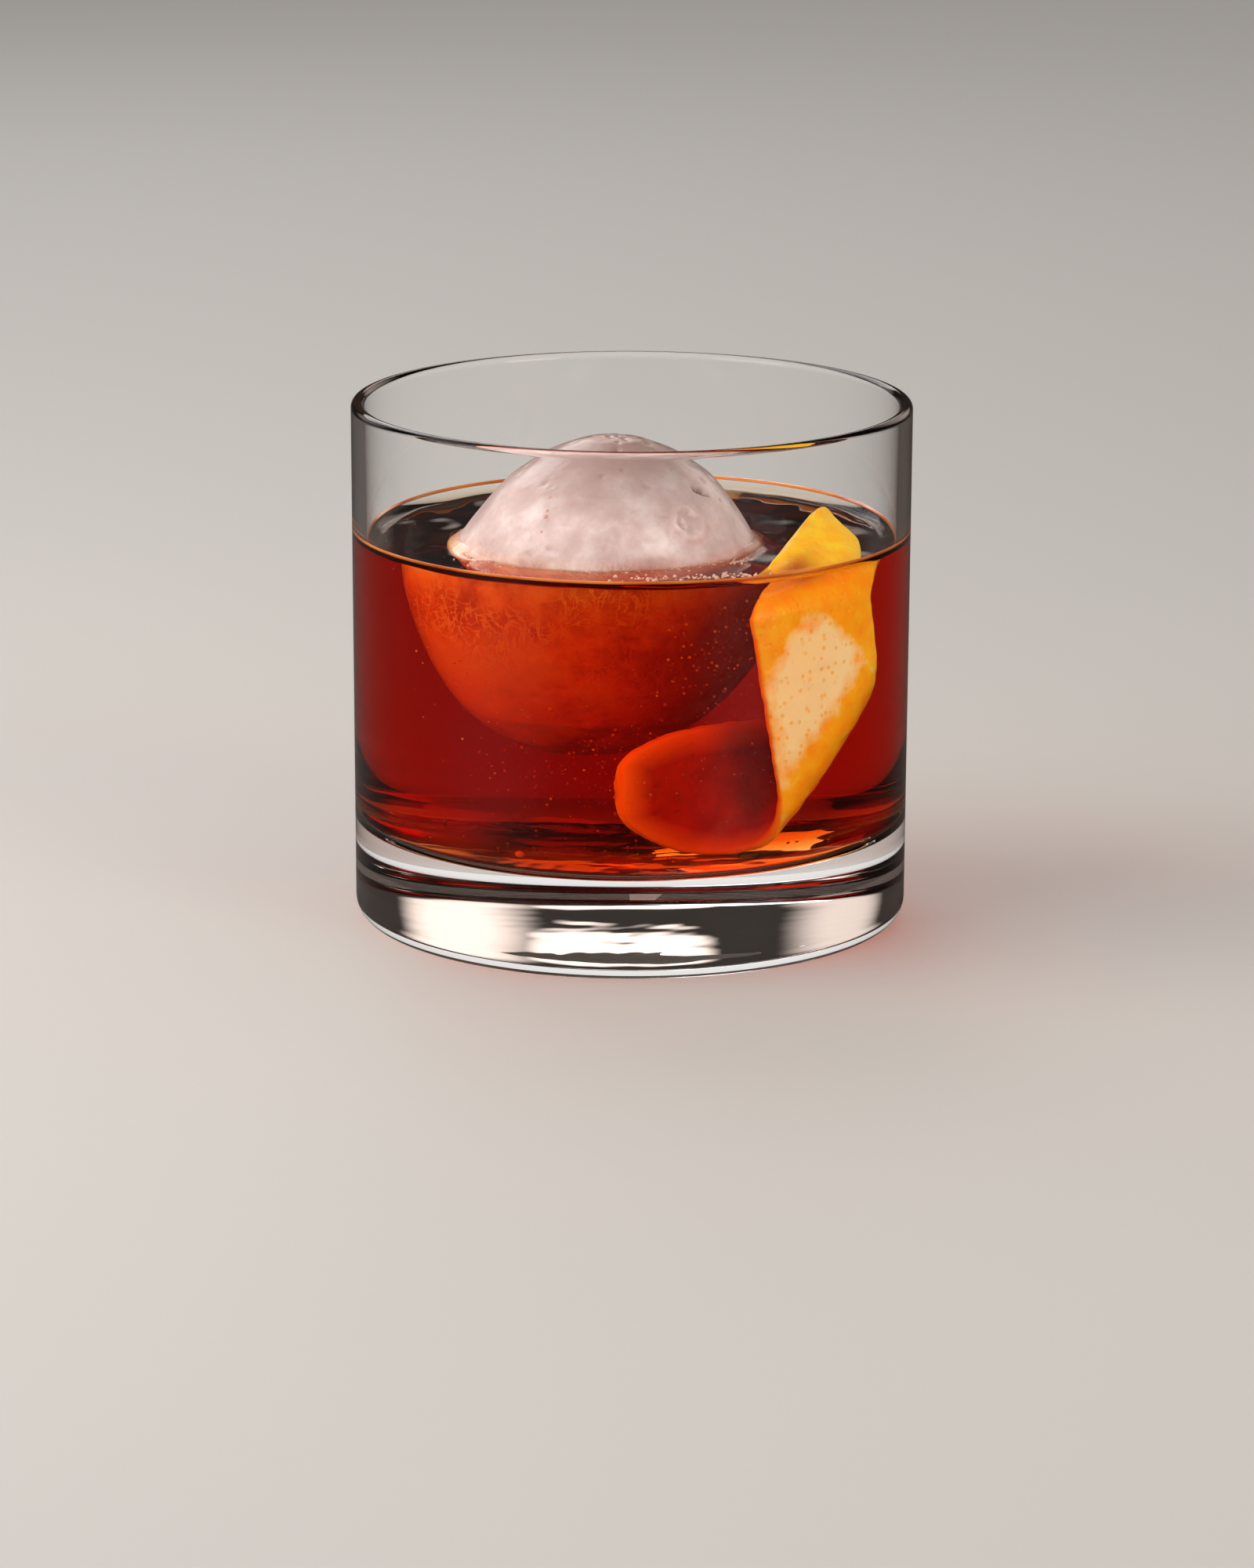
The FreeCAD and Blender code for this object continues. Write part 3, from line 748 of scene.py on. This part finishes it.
def fresh_peel():
    """Orange rind cut with a knife: cream pith dotted with oil glands, orange at its margins, and pored zest."""
    new, tree = material("orange_rind_and_pith")
    place = add(tree, "ShaderNodeTexCoord")
    rind = add(tree, "ShaderNodeAttribute", {"attribute_name": "rind"})
    rim = add(tree, "ShaderNodeAttribute", {"attribute_name": "rim"})
    along = add(tree, "ShaderNodeAttribute", {"attribute_name": "along"})
    mottle = add(tree, "ShaderNodeTexNoise", inputs={"Scale": 1 / (3 * MM), "Detail": 5.0}, links={
        "Vector": (place, "Object"),
    })

    # pith shows in the middle of the face, about 4 mm in from the cut edges; its margins and the tip are orange
    tip = add(tree, "ShaderNodeValToRGB", links={"Fac": (along, "Fac")}, stops=[
        (0.22, 1.0), (0.36, 0.0), (0.66, 0.0), (0.80, 0.7),
    ])
    edge = add(tree, "ShaderNodeMath", {"operation": "MULTIPLY_ADD"}, {1: 0.5}, {
        0: (mottle, "Fac"), 2: (rim, "Fac"),
    })
    edge = add(tree, "ShaderNodeMath", {"operation": "SUBTRACT"}, links={0: (edge, 0), 1: (tip, 0)})
    margin = add(tree, "ShaderNodeValToRGB", links={"Fac": (edge, 0)}, stops=[(0.40, 1.0), (0.64, 0.0)])
    # oil glands stand about 1.3 mm apart
    glands = add(tree, "ShaderNodeTexVoronoi", {"feature": "F1"}, {"Scale": 1 / (1.3 * MM), "Randomness": 1.0}, {
        "Vector": (place, "Object"),
    })
    dots = add(tree, "ShaderNodeValToRGB", links={"Fac": (glands, "Distance")}, stops=[(0.06, 1.0), (0.34, 0.0)])
    pith = add(tree, "ShaderNodeMix", {"data_type": "RGBA"}, {
        6: linear("#FFF8E0"), 7: linear("#FFCC68"),
    }, {0: (dots, 0)})
    orange = add(tree, "ShaderNodeValToRGB", links={"Fac": (mottle, "Fac")}, stops=[
        (0.3, "#FFA80A"), (0.7, "#FFCE22"),
    ])
    front = add(tree, "ShaderNodeMix", {"data_type": "RGBA"}, links={
        0: (margin, 0), 6: (pith, 2), 7: (orange, 0),
    })
    # painted shade, a darker orange, where the tip is bent back
    painted_shade = add(tree, "ShaderNodeAttribute", {"attribute_name": "painted_shade"})
    front = add(tree, "ShaderNodeMix", {"data_type": "RGBA"}, {7: linear("#B85C0C")}, {
        0: (painted_shade, "Fac"), 6: (front, 2),
    })

    # the zest is painted a deep orange-red for the shade it lies in, paler along the knife's cut, partly its pale
    # cut edge and partly a painted glow where the thin edge is lit through
    shaded_zest = add(tree, "ShaderNodeValToRGB", links={"Fac": (mottle, "Fac")}, stops=[
        (0.3, "#A01206"), (0.7, "#C42408"),
    ])
    cut_glow = add(tree, "ShaderNodeValToRGB", links={"Fac": (rim, "Fac")}, stops=[(0.02, 1.0), (0.42, 0.0)])
    shaded_zest = add(tree, "ShaderNodeMix", {"data_type": "RGBA"}, {7: linear("#FF9A34")}, {0: (cut_glow, 0), 6: (shaded_zest, 0)})
    colour = add(tree, "ShaderNodeMix", {"data_type": "RGBA"}, links={
        0: (rind, "Fac"), 6: (front, 2), 7: (shaded_zest, 2),
    })

    pores = add(tree, "ShaderNodeValToRGB", links={"Fac": (glands, "Distance")}, stops=[(0.0, 0.0), (0.35, 1.0)])
    rise = add(tree, "ShaderNodeMath", {"operation": "MULTIPLY_ADD"}, {1: 0.5}, {
        0: (mottle, "Fac"), 2: (pores, 0),
    })
    bump = add(tree, "ShaderNodeBump", inputs={"Strength": 0.5, "Distance": 0.22 * MM}, links={
        "Height": (rise, 0),
    })
    shader = add(tree, "ShaderNodeBsdfPrincipled", inputs={
        "Roughness": 0.42, "Specular IOR Level": 0.25, "Subsurface Weight": 0.6,
        "Subsurface Radius": (1.0, 0.5, 0.15), "Subsurface Scale": 1.6 * MM,
        "Coat Weight": 0.12, "Coat Roughness": 0.12,
    }, links={"Base Color": (colour, 2), "Normal": (bump, 0)})
    add(tree, "ShaderNodeOutputMaterial", links={"Surface": (shader, 0)})
    return new


def trapped_air():
    """Air in the drink and beads of melt: small and round, bright where they catch the lamps."""
    new, tree = material("air_bubble")
    shader = add(tree, "ShaderNodeBsdfPrincipled", inputs={
        "Base Color": linear("#D6A592"), "Roughness": 0.12, "IOR": 1.33,
    })
    add(tree, "ShaderNodeOutputMaterial", links={"Surface": (shader, 0)})
    return new


# ---------------------------------------------------------------- the object
for build, name, finish in (
    (tumbler, "glass", soda_glass), (drink, "drink", whiskey_drink),
    (ice_ball, "ice_ball", melting_ice), (orange_peel, "orange_peel", fresh_peel),
):
    piece = build()
    piece.data.materials.append(finish())
    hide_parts(name)
    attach(piece, "root")
for build, finish, owner in ((meniscus_glow, glowing_amber, "drink"), (bubbles, trapped_air, "ice")):
    piece = build()
    piece.data.materials.append(finish())
    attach(piece, "root")


# ---------------------------------------------------------------- studio, in metres
FLOOR_HALF = 4.0

# soft windows of the room, seen only in gloss and glass:
# direction, brightness, and the cosines at which each one's light starts and is full
WINDOWS = (
    ((0.46, 0.84, 0.28), 1.3, 0.955, 0.998),
    ((-0.62, 0.74, 0.27), 0.9, 0.955, 0.998),
    ((-0.2, -0.6, 0.77), 0.5, 0.955, 0.998),
    ((-0.07, 0.92, 0.38), 1.6, 0.989, 0.997),
    ((0.11, 0.92, 0.36), 1.4, 0.989, 0.997),
    ((0.64, -0.62, 0.34), 2.2, 0.955, 0.99),
    ((-0.68, -0.44, 0.52), 1.8, 0.955, 0.99),
)

# lamps: name, place, size, power, colour, spread in degrees
LAMPS = (
    ("key", (-0.68, -0.44, 0.52), (0.60, 0.60), 3.8, "#FFFFFF", 180),
    ("fill", (0.64, -0.62, 0.34), (0.40, 0.40), 0.92, "#FFF6EC", 100),
    ("back", (-0.3, 0.75, 0.6), (0.5, 0.5), 1.8, "#FFFFFF", 180),
    ("left", (-0.76, 0.0, 0.26), (0.45, 0.40), 1.2, "#FFF6EC", 90),
)
LAMP_AIM = (0, 0, 0.04)

# camera: its place, its lens in millimetres, and degrees of looking down and of roll
CAMERA_PLACE, CAMERA_LENS, CAMERA_DOWN, CAMERA_ROLL = (-0.00053, -0.9971, 0.2655), 153.8, 13.825, 0.204


def pale_floor():
    """Flat square of matt paint, pale, but darker where it is mirrored, so that it lays no veil over the drink."""
    mesh = bpy.data.meshes.new("floor")
    s = FLOOR_HALF
    mesh.from_pydata([(-s, -s, 0), (s, -s, 0), (s, s, 0), (-s, s, 0)], [], [(0, 1, 2, 3)])
    floor = bpy.data.objects.new("floor", mesh)
    bpy.context.scene.collection.objects.link(floor)
    paint, tree = material("pale_studio_floor")
    path = add(tree, "ShaderNodeLightPath")
    in_gloss = add(tree, "ShaderNodeMath", {"operation": "MINIMUM"}, {1: 1.0}, {0: (path, "Glossy Depth")})
    tone = add(tree, "ShaderNodeMix", {"data_type": "RGBA"}, {6: linear("#CDC9C4"), 7: linear("#463E38")}, {
        0: (in_gloss, 0),
    })
    shader = add(tree, "ShaderNodeBsdfPrincipled", inputs={"Roughness": 0.6}, links={"Base Color": (tone, 2)})
    add(tree, "ShaderNodeOutputMaterial", links={"Surface": (shader, 0)})
    mesh.materials.append(paint)


def soft_room():
    """World: pale where it is seen straight or through glass, soft light on the object, dim windows in its gloss."""
    world = bpy.data.worlds.new("studio")
    bpy.context.scene.world = world
    world.use_nodes = True
    tree = world.node_tree
    tree.nodes.clear()
    soft = add(tree, "ShaderNodeBackground", inputs={"Color": linear("#FFFFFF"), "Strength": 0.45})
    way = add(tree, "ShaderNodeTexCoord")
    glow = None
    for window, brightness, start, full in WINDOWS:
        aim = np.array(window) / np.linalg.norm(window)
        toward = add(tree, "ShaderNodeVectorMath", {"operation": "DOT_PRODUCT"}, {1: aim.tolist()}, {
            0: (way, "Generated"),
        })
        spot = add(tree, "ShaderNodeMapRange", {"interpolation_type": "SMOOTHSTEP"}, {
            "From Min": start, "From Max": full, "To Max": brightness,
        }, {"Value": (toward, "Value")})
        glow = spot if glow is None else add(tree, "ShaderNodeMath", {"operation": "ADD"}, links={
            0: (glow, 0), 1: (spot, 0),
        })
    glow = add(tree, "ShaderNodeMath", {"operation": "ADD"}, {1: 0.04}, {0: (glow, 0)})
    dim = add(tree, "ShaderNodeBackground", inputs={"Color": linear("#FFE9DC")}, links={"Strength": (glow, 0)})
    pale = add(tree, "ShaderNodeBackground", inputs={"Color": linear("#ECEAE7"), "Strength": 1.0})
    path = add(tree, "ShaderNodeLightPath")
    in_gloss = add(tree, "ShaderNodeMath", {"operation": "MINIMUM"}, {1: 1.0}, {0: (path, "Glossy Depth")})
    seen = add(tree, "ShaderNodeMath", {"operation": "MAXIMUM"}, links={
        0: (path, "Is Camera Ray"), 1: (path, "Is Transmission Ray"),
    })
    open_room = add(tree, "ShaderNodeMixShader", links={0: (seen, 0), 1: (soft, 0), 2: (pale, 0)})
    mix = add(tree, "ShaderNodeMixShader", links={0: (in_gloss, 0), 1: (open_room, 0), 2: (dim, 0)})
    add(tree, "ShaderNodeOutputWorld", links={"Surface": (mix, 0)})


def soft_lamps():
    """Square and oblong lamps, each turned to face the middle of the glass."""
    for name, place, size, power, tint, spread in LAMPS:
        lamp = bpy.data.lights.new(name, "AREA")
        lamp.shape, lamp.size, lamp.size_y = "RECTANGLE", size[0], size[1]
        lamp.energy, lamp.color, lamp.spread = power, linear(tint)[:3], math.radians(spread)
        holder = bpy.data.objects.new(name, lamp)
        holder.location = place
        # soft windows in the world stand for most lamps in clear glass, and for the near one in all gloss
        holder.visible_transmission = name == "back"
        holder.visible_glossy = name != "left"
        x, y, z = np.array(LAMP_AIM) - np.array(place)
        holder.rotation_euler = (math.atan2(math.hypot(x, y), -z), 0, math.atan2(y, x) - math.pi / 2)
        bpy.context.scene.collection.objects.link(holder)


def camera():
    """Camera in front of the glass, looking down on it, with a slight roll."""
    data = bpy.data.cameras.new("camera")
    data.sensor_width, data.lens = 36.0, CAMERA_LENS
    holder = bpy.data.objects.new("camera", data)
    holder.location = CAMERA_PLACE
    holder.rotation_mode = "XYZ"
    tilt = Matrix.Rotation(math.radians(90 - CAMERA_DOWN), 3, "X")
    holder.rotation_euler = (tilt @ Matrix.Rotation(math.radians(CAMERA_ROLL), 3, "Z")).to_euler()
    bpy.context.scene.collection.objects.link(holder)
    bpy.context.scene.camera = holder


pale_floor()
soft_room()
soft_lamps()
camera()
bpy.context.scene.view_settings.view_transform = "Standard"
